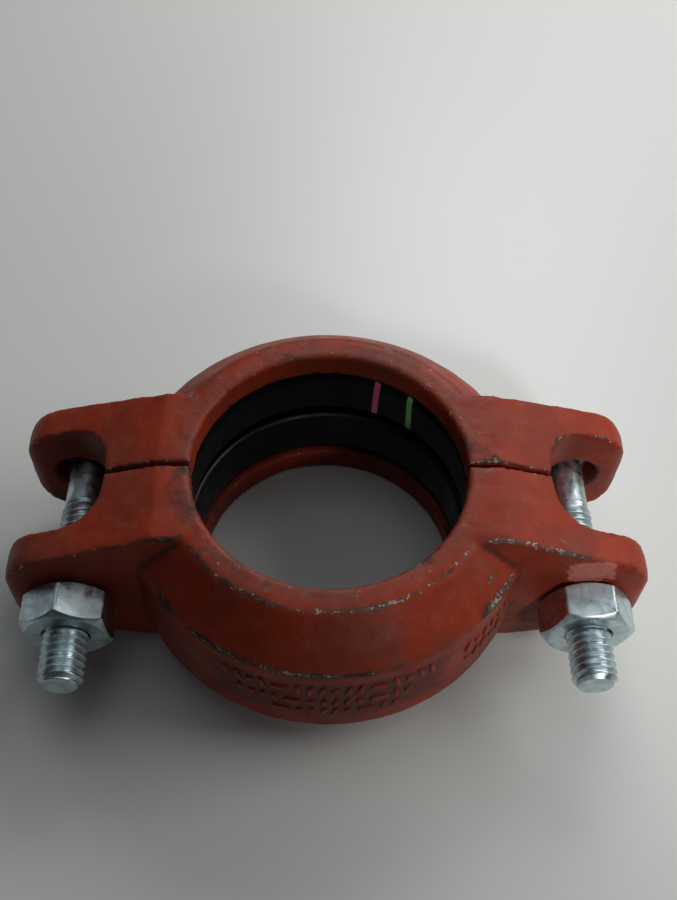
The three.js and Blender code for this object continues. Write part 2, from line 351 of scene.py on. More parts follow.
# %% Group: worn edges
wear_group, put, out = new_group(
    "worn edges",
    [
        ("Edge", FLOAT, 0.0),
        ("Place", VECTOR, None),
        ("Scale", FLOAT, 300.0),
        ("Start", FLOAT, 0.35),
        ("Raggedness", FLOAT, 0.8),
        ("Softness", FLOAT, 0.16),
    ],
    [("Mask", FLOAT)],
)
broad = noise_field(wear_group, put["Place"], math_node(wear_group, "MULTIPLY", put["Scale"], 0.25), 2.0)
fine = noise_field(wear_group, put["Place"], put["Scale"], 5.0, 0.65)
ragged = math_node(wear_group, "SUBTRACT", math_node(wear_group, "ADD", broad, fine), 1.0)
ragged = math_node(wear_group, "MULTIPLY", ragged, put["Raggedness"])
worn = math_node(wear_group, "ADD", put["Edge"], ragged)
end = math_node(wear_group, "ADD", put["Start"], put["Softness"])
feed(wear_group, out["Mask"], ramp(wear_group, worn, put["Start"], end))

# %% [markdown]
# ### Dust
# Dust settles on what faces up and gathers in patches. The surface's own normal says what faces up,
# which stays true from every side the object is seen from.

# %% Group: dust film
dust_group, put, out = new_group(
    "dust film",
    [("Place", VECTOR, None), ("Scale", FLOAT, 250.0), ("Amount", FLOAT, 0.3)],
    [("Mask", FLOAT)],
)
surface = dust_group.nodes.new("ShaderNodeNewGeometry")
split = dust_group.nodes.new("ShaderNodeSeparateXYZ")
dust_group.links.new(surface.outputs["Normal"], split.inputs["Vector"])
facing_up = ramp(dust_group, split.outputs["Z"], 0.1, 0.95, 0.25, 1.0)
patches = ramp(dust_group, noise_field(dust_group, put["Place"], put["Scale"], 6.0, 0.7), 0.42, 0.72)
dust = math_node(dust_group, "MULTIPLY", facing_up, patches)
feed(dust_group, out["Mask"], math_node(dust_group, "MULTIPLY", dust, put["Amount"], clamp=True))
print("effects:", [group.name for group in bpy.data.node_groups])

# %% [markdown]
# ## Finish: enamel on cast iron
# The castings wear a thin orange-red enamel. It could be a single red with a bump, but then it would
# look like plastic. Here the red drifts between a clean orange and a dull brick tone, the outer edges
# are rubbed through to grey-brown iron with pale chips in it, and hollows and the band round the
# marks are painted darker as shade, with some grime. The outer face of the right-hand front lug has a
# paler pink patch above its nut: partly paint worn by a wrench, partly painted light and glare.

# %% Build the enamel
def start_material(name):
    """A new material, its tree, its shader and the object coordinates."""
    material = plain_material(name, (0.5, 0.5, 0.5), 0.5)
    tree = material.node_tree
    place = add_node(tree, "ShaderNodeTexCoord").outputs["Object"]
    return material, tree, tree.nodes["Principled BSDF"], place


def carried(tree, name):
    """A value that the mesh carries at its points."""
    node = tree.nodes.new("ShaderNodeAttribute")
    node.attribute_name = name
    return node.outputs["Fac"]


def bumped(tree, height, strength, distance_mm):
    """Normal output of a Bump node."""
    node = add_node(tree, "ShaderNodeBump", Strength=strength, Distance=distance_mm * MM)
    feed(tree, node.inputs["Height"], height)
    return node.outputs["Normal"]


RED = (0.262, 0.025, 0.006, 1)
DEEP_RED = (0.190, 0.022, 0.008, 1)
DULL_BRICK = (0.132, 0.034, 0.024, 1)
DARK_SPECK = (0.085, 0.022, 0.014, 1)
PINK_SCUFF_AND_GLARE = (0.44, 0.14, 0.11, 1)
CHALKY_RED = (0.120, 0.045, 0.035, 1)
RED_GRIME_AND_SHADE = (0.040, 0.015, 0.011, 1)
BLACK_STAIN = (0.026, 0.019, 0.014, 1)
BARE_IRON = (0.105, 0.085, 0.066, 1)
PALE_CHIP = (0.42, 0.37, 0.32, 1)
RED_DUST = (0.34, 0.22, 0.18, 1)


def painted_tone(tree, place, hollow, rub_and_glare, knock):
    """The enamel where it is whole: cloudy red, a pale patch of wrench-worn paint and painted light, chalky
    rims, and hollows painted darker as shade with some grime.
    """
    tone = use_group(tree, tone_group, Place=place, Scale=75.0, Mottle=0.9, First=RED, Second=DEEP_RED)
    dull = ramp(tree, noise_field(tree, place, 38.0, 3.0, 0.6, 0.6), 0.45, 0.70, 0.0, 0.5)
    tone = mix_color(tree, dull, tone, DULL_BRICK)
    speckle = ramp(tree, noise_field(tree, place, 1700.0, 2.0, 0.5), 0.60, 0.70, 0.0, 0.45)
    tone = mix_color(tree, speckle, tone, DARK_SPECK)
    # A paler pink patch above the right-hand nut: partly paint worn by a wrench, partly painted light and
    # glare.
    scuff_and_glare = use_group(tree, wear_group, Edge=rub_and_glare, Place=place, Scale=800.0, Start=0.46,
                      Raggedness=1.5, Softness=0.3)
    tone = laid_over(tree, tone, scuff_and_glare, 0.85, PINK_SCUFF_AND_GLARE)
    tone = mix_color(tree, ramp(tree, knock, 0.25, 0.44, 0.0, 0.38), tone, CHALKY_RED)
    # Hollows and the marked band are painted darker: painted shade, with some grime.
    return mix_color(tree, ramp(tree, hollow, 0.12, 0.7, 0.0, 0.75), tone, RED_GRIME_AND_SHADE)


def worn_through(tree, place, tone, edge, knock):
    """The same tone worn in three steps: stained, bared and chipped; also the first two masks."""
    bared = math_node(tree, "MAXIMUM", math_node(tree, "MULTIPLY", edge, 0.6), knock)
    stained = use_group(tree, wear_group, Edge=bared, Place=place, Scale=230.0, Start=0.48,
                        Raggedness=1.5, Softness=0.42)
    tone = laid_over(tree, tone, stained, 0.85, BLACK_STAIN)
    worn = use_group(tree, wear_group, Edge=bared, Place=place, Scale=900.0, Start=0.78, Raggedness=1.7)
    tone = laid_over(tree, tone, worn, 0.6, BARE_IRON)
    chipped = use_group(tree, wear_group, Edge=bared, Place=place, Scale=2100.0, Start=1.08,
                        Raggedness=2.4)
    return laid_over(tree, tone, chipped, 0.7, PALE_CHIP), stained, worn


def build_enamel():
    """Cast iron under thin orange-red enamel."""
    material, tree, shader, place = start_material("orange_red_enamel")
    rub_and_glare = carried(tree, "rub_and_glare")
    knock = carried(tree, "knock")
    tone = painted_tone(tree, place, carried(tree, "hollow"), rub_and_glare, knock)
    tone, stained, worn = worn_through(tree, place, tone, carried(tree, "edge"), knock)
    dust = use_group(tree, dust_group, Place=place, Scale=260.0, Amount=0.07)
    feed(tree, shader.inputs["Base Color"], mix_color(tree, dust, tone, RED_DUST))
    gloss = ramp(tree, noise_field(tree, place, 160.0, 4.0, 0.6), 0.3, 0.7, 0.38, 0.52)
    rough_stain = math_node(tree, "MULTIPLY", stained, 0.15)
    feed(tree, shader.inputs["Roughness"], math_node(tree, "ADD", gloss, rough_stain))
    shader.inputs["Specular IOR Level"].default_value = 0.15
    grain = use_group(tree, grain_group, Place=place, Scale=1500.0, Pits=0.5)
    wrinkles = math_node(tree, "MULTIPLY", noise_field(tree, place, 700.0, 3.0, 0.6, 1.5), rub_and_glare)
    sunk = math_node(tree, "MULTIPLY", worn, -0.4)
    step = math_node(tree, "ADD", sunk, math_node(tree, "MULTIPLY", wrinkles, 4.0))
    feed(tree, shader.inputs["Normal"], bumped(tree, math_node(tree, "ADD", grain, step), 0.60, 0.10))
    return material


enamel = build_enamel()
print(enamel.name, "has", len(enamel.node_tree.nodes), "nodes")

# %% [markdown]
# ## Finish: zinc plating
# Bolts and nuts are plated with bright zinc. It is a metal, so its colour lives in the reflection:
# a cool light grey that clouds over here and there. A fine grain and cloudy patches roughen it. Sharp
# edges and thread crests are painted paler, partly as rubbed zinc and partly as painted highlight,
# and the thread valleys and other hollows are painted darker as shade.

# %% Build the zinc
ZINC = (0.58, 0.68, 0.71, 1)
CLOUDED_ZINC = (0.44, 0.52, 0.55, 1)
ZINC_STAIN = (0.30, 0.30, 0.30, 1)
THREAD_VALLEY_SHADE = (0.13, 0.14, 0.16, 1)
RUBBED_ZINC_AND_HIGHLIGHT = (0.84, 0.86, 0.87, 1)


def build_zinc():
    """Steel plated with bright zinc."""
    material, tree, shader, place = start_material("bright_zinc")
    edge = carried(tree, "edge")
    hollow = carried(tree, "hollow")
    tone = use_group(tree, tone_group, Place=place, Scale=300.0, Mottle=0.8,
                     First=ZINC, Second=CLOUDED_ZINC)
    stain = ramp(tree, noise_field(tree, place, 420.0, 5.0, 0.7), 0.58, 0.75, 0.0, 0.45)
    tone = mix_color(tree, stain, tone, ZINC_STAIN)
    # Thread valleys and other hollows are painted darker: painted shade.
    tone = mix_color(tree, ramp(tree, hollow, 0.1, 0.8, 0.0, 0.7), tone, THREAD_VALLEY_SHADE)
    # Sharp edges and thread crests are painted paler: partly rubbed zinc, partly painted highlight.
    bright = use_group(tree, wear_group, Edge=edge, Place=place, Scale=700.0, Start=0.45,
                       Raggedness=0.5)
    feed(tree, shader.inputs["Base Color"], laid_over(tree, tone, bright, 0.7, RUBBED_ZINC_AND_HIGHLIGHT))
    shader.inputs["Metallic"].default_value = 1.0
    cloud = ramp(tree, noise_field(tree, place, 380.0, 4.0, 0.6), 0.32, 0.7, 0.24, 0.44)
    dust = use_group(tree, dust_group, Place=place, Scale=500.0, Amount=0.18)
    feed(tree, shader.inputs["Roughness"], math_node(tree, "ADD", cloud, dust))
    grain = use_group(tree, grain_group, Place=place, Scale=2600.0, Pits=0.2)
    feed(tree, shader.inputs["Normal"], bumped(tree, grain, 0.10, 0.03))
    return material


zinc = build_zinc()
print(zinc.name, "has", len(zinc.node_tree.nodes), "nodes")

# %% [markdown]
# ## Finish: gasket rubber with two painted stripes
# The gasket is smooth black rubber with a soft gloss. The maker marks its grade with two short
# stripes of paint on the sealing lip, one pink and one green. A stripe could be a thin piece of its
# own, but paint has no thickness to speak of, so it is a mask: the angle round the pipe and the
# height along it say where the brush went, and noise frays its ends.

# %% Build the rubber
BLACK = (0.0012, 0.0012, 0.0014, 1)
BLOOMED_BLACK = (0.003, 0.003, 0.0033, 1)
GREY_DUST = (0.16, 0.14, 0.13, 1)
PINK = (0.52, 0.10, 0.20, 1)
GREEN = (0.17, 0.46, 0.14, 1)
STRIPE_HALF = 1.25  # half the width of a stripe, in degrees round the pipe
STRIPE_SOFT = 0.25


def stripe_mask(tree, place, angle, lean, low, high):
    """1 where a stripe is painted: angle in degrees at its foot, lean in degrees per metre."""
    axes = tree.nodes.new("ShaderNodeSeparateXYZ")
    tree.links.new(place, axes.inputs["Vector"])
    turn = math_node(tree, "ARCTAN2", axes.outputs["Y"], axes.outputs["X"])
    turn = math_node(tree, "DEGREES", turn)
    height = axes.outputs["Z"]
    climbed = math_node(tree, "MULTIPLY", math_node(tree, "SUBTRACT", height, low * MM), lean)
    middle = math_node(tree, "ADD", climbed, angle)
    frayed = math_node(tree, "SUBTRACT", noise_field(tree, place, 900.0, 3.0), 0.5)
    aside = math_node(tree, "ABSOLUTE", math_node(tree, "SUBTRACT", turn, middle))
    aside = math_node(tree, "ADD", aside, math_node(tree, "MULTIPLY", frayed, 0.7))
    inside = ramp(tree, aside, STRIPE_HALF, STRIPE_HALF + STRIPE_SOFT, 1.0, 0.0)
    ragged = math_node(tree, "ADD", height, math_node(tree, "MULTIPLY", frayed, 1.5 * MM))
    above = ramp(tree, ragged, (low - 0.1) * MM, (low + 0.1) * MM)
    below = ramp(tree, ragged, (high - 0.1) * MM, (high + 0.1) * MM, 1.0, 0.0)
    return math_node(tree, "MULTIPLY", math_node(tree, "MULTIPLY", inside, above), below)


def build_rubber():
    """Smooth black rubber with the two stripes of its grade."""
    material, tree, shader, place = start_material("black_rubber")
    tone = use_group(tree, tone_group, Place=place, Scale=90.0, Mottle=0.8,
                     First=BLACK, Second=BLOOMED_BLACK)
    dust = use_group(tree, dust_group, Place=place, Scale=700.0, Amount=0.03)
    tone = mix_color(tree, dust, tone, GREY_DUST)
    pink = stripe_mask(tree, place, 68.6, -85.0, 22.9, 35.3)
    tone = mix_color(tree, pink, tone, PINK)
    green = stripe_mask(tree, place, 51.2, 25.0, 22.6, 35.1)
    tone = mix_color(tree, green, tone, GREEN)
    feed(tree, shader.inputs["Base Color"], tone)
    gloss = ramp(tree, noise_field(tree, place, 220.0, 4.0), 0.3, 0.7, 0.34, 0.50)
    feed(tree, shader.inputs["Roughness"], gloss)
    shader.inputs["Specular IOR Level"].default_value = 0.25
    grain = use_group(tree, grain_group, Place=place, Scale=1500.0, Pits=0.1)
    feed(tree, shader.inputs["Normal"], bumped(tree, grain, 0.10, 0.05))
    return material


rubber = build_rubber()
print(rubber.name, "has", len(rubber.node_tree.nodes), "nodes")

# %% [markdown]
# ## Finding edges and hollows
# The worn-edge masks, and the painted shade and grime in hollows, need to know where a surface bends
# outwards and where it bends inwards. Blender's Pointiness would tell, but it depends on how fine the
# mesh is. Instead each point is compared with the average of its neighbours: on an outer edge that
# average lies behind the surface, in a hollow it lies in front. Spreading the result a little makes
# soft bands of it.

# %% Helpers: carry edge and hollow values on a mesh
def neighbour_mean(values, pairs, counts):
    """Average of each point's neighbours, for one or more columns of values."""
    total = np.zeros_like(values)
    np.add.at(total, pairs[:, 0], values[pairs[:, 1]])
    np.add.at(total, pairs[:, 1], values[pairs[:, 0]])
    return total / counts.reshape(-1, *([1] * (values.ndim - 1)))


def point_arrays(mesh):
    """Places, normals, edge pairs and neighbour counts of a mesh."""
    places = np.empty(len(mesh.vertices) * 3)
    mesh.vertices.foreach_get("co", places)
    normals = np.empty(len(mesh.vertices) * 3)
    mesh.vertices.foreach_get("normal", normals)
    pairs = np.empty(len(mesh.edges) * 2, dtype=np.int64)
    mesh.edges.foreach_get("vertices", pairs)
    pairs = pairs.reshape(-1, 2)
    counts = np.bincount(pairs.ravel(), minlength=len(mesh.vertices)).clip(1)
    return places.reshape(-1, 3), normals.reshape(-1, 3), pairs, counts


def store(mesh, name, values):
    """Writes one value per point as a mesh attribute."""
    attribute = mesh.attributes.get(name) or mesh.attributes.new(name, "FLOAT", "POINT")
    attribute.data.foreach_set("value", np.asarray(values, dtype=np.float32))


def carry_bends(mesh, reach_mm, spread):
    """Stores edge and hollow, each 0 to 1; a bend of radius reach_mm or sharper counts fully."""
    places, normals, pairs, counts = point_arrays(mesh)
    offset = neighbour_mean(places, pairs, counts) - places
    span = np.linalg.norm(places[pairs[:, 0]] - places[pairs[:, 1]], axis=1)
    squares = np.zeros(len(places))
    np.add.at(squares, pairs[:, 0], span**2)
    np.add.at(squares, pairs[:, 1], span**2)
    bend = -2 * (offset * normals).sum(axis=1) / (squares / counts).clip(1e-12)
    bend = np.clip(bend * reach_mm * MM, -1.5, 1.5)
    for _ in range(spread):
        bend = 0.5 * bend + 0.5 * neighbour_mean(bend, pairs, counts)
    store(mesh, "edge", np.clip(bend, 0, 1))
    store(mesh, "hollow", np.clip(-bend, 0, 1))
    return bend


def face_outward(work):
    """Turns every face of a closed mesh outward; stored normals are stale once points have moved."""
    work.normal_update()
    bmesh.ops.recalc_face_normals(work, faces=work.faces)
    work.normal_update()
    if work.calc_volume(signed=True) < 0:
        bmesh.ops.reverse_faces(work, faces=work.faces)
        work.normal_update()


def finish_piece(name, mesh, material, body):
    """Links a finished mesh as an object at the origin, riding on its body."""
    piece = bpy.data.objects.new(name, mesh)
    mesh.materials.clear()
    mesh.materials.append(material)
    bpy.context.scene.collection.objects.link(piece)
    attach(piece, body)
    triangles = sum(len(face.vertices) - 2 for face in mesh.polygons)
    print(f"{name}: {triangles} triangles")
    return piece


def absorb(work, part):
    """Adds one bmesh to another, and frees it."""
    scrap = bpy.data.meshes.new("scrap")
    part.to_mesh(scrap)
    part.free()
    work.from_mesh(scrap)
    bpy.data.meshes.remove(scrap)


print("shape helpers ready")

# %% [markdown]
# ## Castings
# Each housing is sand-cast: every corner is soft, inner corners more so, and the skin is slightly
# lumpy. Bevelling every edge of such a shape by hand is slow and tends to tear where lug and ring
# meet. A voxel remesh is closer to how sand behaves: the designed solid is turned into an even skin
# of small squares, and smoothing that skin rounds outer and inner corners together, like a fillet.
# A copy of the designed mesh is used, with its loose triangles merged first.

# %% Helpers: from designed solid to cast skin
VOXEL = 0.52 * MM
SMOOTHING = 2
LUMP_SIZE = 3.4 * MM
LUMP_DEPTH = 0.10 * MM
BAND_RELIEF = 0.42  # the band lies this far inside the raised marks
CHIP_SIZE = 1.5 * MM
CHIP_DEPTH = 0.22 * MM
BORE_RADIUS = 28.8
RIM_RADIUS = 34.3
SHOULDER_RUN = 9.2


def merged_copy(node):
    """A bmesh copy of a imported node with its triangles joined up."""
    copy = bmesh.new()
    copy.from_mesh(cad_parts[node].data)
    bmesh.ops.remove_doubles(copy, verts=copy.verts, dist=0.002 * MM)
    return copy


def applied(mesh, name, **settings):
    """A mesh with one modifier applied to it."""
    helper = bpy.data.objects.new("helper", mesh)
    bpy.context.scene.collection.objects.link(helper)
    modifier = helper.modifiers.new("step", name)
    for key, value in settings.items():
        setattr(modifier, key, value)
    evaluated = helper.evaluated_get(bpy.context.evaluated_depsgraph_get())
    result = bpy.data.meshes.new_from_object(evaluated)
    bpy.data.objects.remove(helper)
    return result


def cast_skin(node):
    """The node's solid as an even, smoothed skin."""
    solid = bpy.data.meshes.new(node + "_solid")
    copy = merged_copy(node)
    copy.to_mesh(solid)
    copy.free()
    skin = applied(solid, "REMESH", mode="VOXEL", voxel_size=VOXEL, adaptivity=0.0)
    work = bmesh.new()
    work.from_mesh(skin)
    for _ in range(SMOOTHING):
        bmesh.ops.smooth_vert(work, verts=work.verts, factor=0.5,
                              use_axis_x=True, use_axis_y=True, use_axis_z=True)
    work.to_mesh(skin)
    work.free()
    return skin


def smooth_step(value, low, high):
    """0 below low, 1 above high, and a smooth climb between."""
    share = np.clip((value - low) / (high - low), 0, 1)
    return share * share * (3 - 2 * share)


def roughen(mesh, seed):
    """Sinks the band behind its marks, and adds casting lumps and chipped edges, always inwards."""
    places, normals, pairs, counts = point_arrays(mesh)
    bend = carry_bends(mesh, 1.6, 2)
    radius = np.hypot(places[:, 0], places[:, 1]) / MM
    on_band = smooth_step(radius, ring_radius - 4.5, ring_radius - 0.6)
    sideways = np.abs(places[:, 0]) / MM
    on_band *= 1 - smooth_step(sideways, ring_radius - 8, ring_radius - 3)
    outward = places / np.linalg.norm(places[:, :2], axis=1, keepdims=True)
    outward[:, 2] = 0
    shift = Vector((seed * 0.37, seed * 0.11, seed * 0.23))
    lump = np.array([noise.fractal(Vector(p) / LUMP_SIZE + shift, 1.0, 2.0, 3) for p in places])
    chip = np.array([noise.noise(Vector(p) / CHIP_SIZE - shift) for p in places])
    chipped = smooth_step(chip, 0.12, 0.55) * smooth_step(bend, 0.35, 0.8)
    depth = LUMP_DEPTH * smooth_step(lump, -0.8, 0.9) + CHIP_DEPTH * chipped
    places = places - outward * (on_band * BAND_RELIEF * MM)[:, None] - normals * depth[:, None]
    mesh.vertices.foreach_set("co", places.ravel())
    mesh.update()


def near_circle(mesh_mm, radius, rise, width):
    """1 on a circle round the pipe, on either side of the middle, falling off over a width."""
    off_radius = np.hypot(mesh_mm[:, 0], mesh_mm[:, 1]) - radius
    off_height = np.abs(mesh_mm[:, 2] - mid_z) - rise
    return np.exp(-(off_radius**2 + off_height**2) / width**2)


def knocked(mesh):
    """Stores knock, high on the edges of rim, bore, band and lugs; also adds the band round the marks to
    hollow, which paints it darker as shade with some grime.
    """
    places, normals, pairs, counts = point_arrays(mesh)
    places = places / MM
    bend = carry_bends(mesh, 2.2, 3)
    real_edge = smooth_step(bend, 0.06, 0.30)
    x, y, z = places.T
    sideways = np.abs(x)
    scraped = smooth_step(x, -19, -11) * (1 - smooth_step(x, 13, 20)) * (y < 0)
    rim_edge = near_circle(places, RIM_RADIUS, mid_z, 0.75) * (0.85 + 0.40 * scraped) * real_edge
    bore_edge = near_circle(places, BORE_RADIUS, mid_z, 0.6) * 1.05 * real_edge
    dragged = smooth_step(x, -31, -24) * (1 - smooth_step(x, 5, 12)) * (y < 0)
    band_edge = near_circle(places, ring_radius - BAND_RELIEF, mid_z - SHOULDER_RUN, 1.0)
    band_edge *= (0.50 + 0.55 * dragged) * (1 - smooth_step(sideways, 27, 34)) * (z > mid_z)
    leaning = smooth_step(-normals[:, 1], 0.12, 0.35) * smooth_step(normals[:, 2], 0.12, 0.35)
    crease = smooth_step(bend, 0.04, 0.16) * leaning * smooth_step(sideways, 28, 32)
    crease *= (1 - smooth_step(x, 50, 57)) * (0.62 + 0.23 * (x > 0))
    side_face = np.abs(z - mid_z) > mid_z - 0.5
    on_rim = 0.42 * side_face * smooth_step(-np.hypot(x, y), -RIM_RADIUS - 3, -RIM_RADIUS + 4)
    store(mesh, "knock", np.maximum.reduce([rim_edge, bore_edge, band_edge, crease, on_rim]))
    # The front band round the marks goes into hollow as well, so it is painted darker: painted shade, with
    # some grime.
    around = np.abs(np.arctan2(x, np.abs(y))) * ring_radius
    marked = smooth_step(-around, -30, -22) * smooth_step(z, 13, 16) * (1 - smooth_step(z, 29, 31))
    marked *= np.hypot(x, y) > ring_radius - 2
    store(mesh, "hollow", np.maximum(np.clip(-bend, 0, 1), 0.55 * marked))


def scuff_and_glare_patch(mesh):
    """Stores one pale patch on the outer face of the right-hand front lug, above its nut: partly paint worn
    by a wrench, partly painted light and glare on that face.
    """
    places, normals, pairs, counts = point_arrays(mesh)
    x, y, z = (places / MM).T
    along = smooth_step(x, 46.5, 51.0) * (1 - smooth_step(x, 57.0, 61.5))
    high = smooth_step(z, mid_z + 6.5, mid_z + 9.5) * (1 - smooth_step(z, mid_z + 14.2, mid_z + 15.4))
    store(mesh, "rub_and_glare", along * high * smooth_step(-normals[:, 1], 0.45, 0.75) * (y < nut_seat / 2))


print("voxel size", round(VOXEL / MM, 2), "mm")

# %% [markdown]
# ### The two housings
# Both halves are the same casting, one turned half round the pipe. They are made from their own
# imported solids, with a different seed each, so that lumps and chips don't repeat.

# %% Make the housings
def make_housing(node, body, seed):
    """One worn casting in place of a packed housing."""
    mesh = cast_skin(node)
    roughen(mesh, seed)
    knocked(mesh)
    scuff_and_glare_patch(mesh)
    mesh.shade_smooth()
    piece = finish_piece(node + "_casting", mesh, enamel, body)
    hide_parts(node)


make_housing("front_housing", "front_half", 1)
make_housing("rear_housing", "rear_half", 2)

# %% [markdown]
# ### Raised marks on the band
# A foundry raises marks on the outside of such a casting. Here they are blank bars and round pips
# that say nothing, in three long rows and two short ones, so the band has the relief of a marked
# casting without any writing. Each mark starts as a bevelled box lying flat and is wrapped round the
# band, which keeps it part of a cylinder. A bump would be cheaper, but it wouldn't show in outline.

# %% Make the marks
MARK_SINK = 0.6
MARK_SLANT = 0.24
BAR = (1.1, 3.4)  # width and height
LOW_BAR = (1.0, 2.3)
PIP = (1.5, 1.5)
LONG_BAR = (3.6, 1.2)
SIDE = (BAR, PIP, BAR, BAR, PIP, BAR)
UPPER = (BAR, BAR, PIP, BAR, LONG_BAR, BAR, BAR, BAR, PIP, BAR, BAR, LONG_BAR, BAR, PIP, BAR, BAR)
LOWER = (LOW_BAR, PIP, LOW_BAR, LOW_BAR, LONG_BAR, PIP, LOW_BAR, LOW_BAR, LOW_BAR, PIP, LONG_BAR,
         LOW_BAR, PIP)
ROWS = (  # height of the row, its middle along the band, and its marks
    (27.3, 0.0, UPPER),
    (21.9, -1.0, LOWER),
    (17.4, 1.5, LOWER[4:]),
    (26.0, 37.5, SIDE),
    (20.5, 36.5, SIDE[1:]),
)
MARK_SPACE = 1.35


def wrap_on_band(verts, start_mm, z_mm, side):
    """Bends flat verts, in mm as along, out and up, round the band on one side of the coupling."""
    base = ring_radius - BAND_RELIEF - MARK_SINK
    for vert in verts:
        along, out_mm, up_mm = vert.co
        angle = (start_mm + along) / ring_radius
        reach = base + out_mm
        sideways = side * reach * math.sin(angle)
        forwards = -side * reach * math.cos(angle)
        vert.co = (sideways * MM, forwards * MM, (z_mm + up_mm) * MM)


def add_mark(work, start, size, z_mm, side):
    """One blank mark, leaning a little, with soft edges, bent round the band."""
    width, height = size
    part = bmesh.new()
    bmesh.ops.create_cube(part, size=1.0)
    tall = MARK_SINK + BAND_RELIEF - 0.03
    bmesh.ops.scale(part, vec=(width, tall, height), verts=part.verts)
    bmesh.ops.translate(part, vec=(width / 2, tall / 2, 0), verts=part.verts)
    for vert in part.verts:
        vert.co.x += vert.co.z * MARK_SLANT * math.sin(2.3 * start) * (width < height / 2)
    bmesh.ops.bevel(part, geom=part.edges, offset=0.34, offset_type="OFFSET", segments=3, profile=0.5,
                    affect="EDGES", material=-1, clamp_overlap=True)
    long_edges = [edge for edge in part.edges if abs(edge.verts[0].co.x - edge.verts[1].co.x) > 1.2]
    bmesh.ops.subdivide_edges(part, edges=long_edges, cuts=round(width), use_grid_fill=True)
    wrap_on_band(part.verts, start, z_mm, side)
    face_outward(part)
    absorb(work, part)


def make_marks(name, body, side):
    """All rows of marks on one housing, as one piece."""
    work = bmesh.new()
    for z_mm, middle, marks in ROWS:
        total = sum(width for width, height in marks) + MARK_SPACE * (len(marks) - 1)
        start = middle - total / 2
        for size in marks:
            add_mark(work, start, size, z_mm, side)
            start += size[0] + MARK_SPACE
    mesh = bpy.data.meshes.new(name)
    work.to_mesh(mesh)
    work.free()
    carry_bends(mesh, 0.4, 0)
    store(mesh, "rub_and_glare", np.zeros(len(mesh.vertices)))
    store(mesh, "knock", np.full(len(mesh.vertices), 0.25))
    mesh.shade_smooth()
    finish_piece(name, mesh, enamel, body)


make_marks("front_band_marks", "front_half", 1)
make_marks("rear_band_marks", "rear_half", -1)

# %% [markdown]
# ## Gasket
# The gasket is moulded rubber with a C-shaped section: two long lips lie on the pipe ends and the
# hollow between them lets line pressure push them tighter. The section is drawn once as a flat
# face, its corners are rounded with a vertex bevel, and a full spin about the pipe axis makes the
# ring. Spinning is the natural way to make anything that was turned or moulded round.

# %% Make the gasket
LIP_INSET = 10.0  # from the gasket's outside in to the lips
LIP_GAP = 2.6
LIP_WALL = 2.6
LIP_FLARE = 0.5
LIP_MOUTH = 2.6
LIP_LEAD = 0.8
GROOVE_WALL = 3.9
GROOVE_END = 5.0
SHOULDER_IN = 7.0
SHOULDER_DROP = 5.4
RING_STEPS = 224


def gasket_section():
    """Corners of the upper half of the section as (radius, height above the middle) in mm."""
    lip = gasket_radius - LIP_INSET
    flared = lip + LIP_FLARE
    back = flared + LIP_WALL
    gap = LIP_GAP / 2
    return [
        (gasket_radius, gasket_half - SHOULDER_DROP),
        (gasket_radius - SHOULDER_IN, gasket_half),
        (lip + LIP_LEAD, gasket_half),
        (lip, gasket_half - LIP_MOUTH),
        (flared, gap + LIP_LEAD),
        (flared + LIP_LEAD, gap),
        (back, gap + LIP_LEAD),
        (back, gasket_half - GROOVE_END),
        (gasket_radius - GROOVE_WALL, gasket_half - GROOVE_END - LIP_LEAD),
    ]


def make_gasket():
    """The section spun into a closed ring."""
    upper = gasket_section()
    lower = [(radius, -height) for radius, height in reversed(upper)]
    work = bmesh.new()
    corners = [work.verts.new((radius * MM, 0, (mid_z + height) * MM))
               for radius, height in upper + lower]
    work.faces.new(corners)
    bmesh.ops.bevel(work, geom=work.verts[:], offset=0.33 * MM, offset_type="OFFSET", segments=3,
                    profile=0.5, affect="VERTICES", material=-1, clamp_overlap=True)
    long_edges = [edge for edge in work.edges if edge.calc_length() > 1.5 * MM]
    bmesh.ops.subdivide_edges(work, edges=long_edges, cuts=3)
    bmesh.ops.delete(work, geom=work.faces[:], context="FACES_ONLY")
    bmesh.ops.spin(work, geom=work.verts[:] + work.edges[:], cent=(0, 0, 0), axis=(0, 0, 1), dvec=(0, 0, 0),
                   angle=2 * math.pi, steps=RING_STEPS, use_merge=True, use_normal_flip=False)
    bmesh.ops.remove_doubles(work, verts=work.verts, dist=0.001 * MM)
    face_outward(work)
    mesh = bpy.data.meshes.new("gasket_ring")
    work.to_mesh(mesh)
    open_edges = sum(not edge.is_manifold for edge in work.edges)
    work.free()
    print("gasket edges left open:", open_edges)
    mesh.shade_smooth()
    piece = finish_piece("gasket_ring", mesh, rubber, "gasket_ring")
    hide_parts("gasket")


make_gasket()

# %% [markdown]
# ## Bolts
# A coupling bolt has a round head, an oval neck that stops it turning in the casting, a plain shank
# and a rolled thread. The thread is a true helix: one pitch of its profile is spun with a little
# travel at each step, so that each turn lands exactly where the next begins. A plane cuts the tip
# square, the tip is bevelled as a die would leave it, and the last turns run out into the shank.

# %% Make the bolts
PITCH_MM = 1.5875
CREST = 4.7
ROOT = 3.75
SHANK = 4.3
THREAD_LENGTH = 42.8
TURN_STEPS = 40
TIP_RADIUS = 3.65
RUN_OUT = 3.2
NECK_WIDTH = 13.8
NECK_LENGTH = 4.4
SEAT_Y = -nut_seat
PROFILE = (  # one pitch of thread, as shares of the pitch along and of the depth out
    (0.0, 0.0), (0.09, 0.03), (0.16, 0.14), (0.40, 0.88), (0.45, 0.98),
    (0.55, 0.98), (0.60, 0.88), (0.84, 0.14), (0.91, 0.03),
)


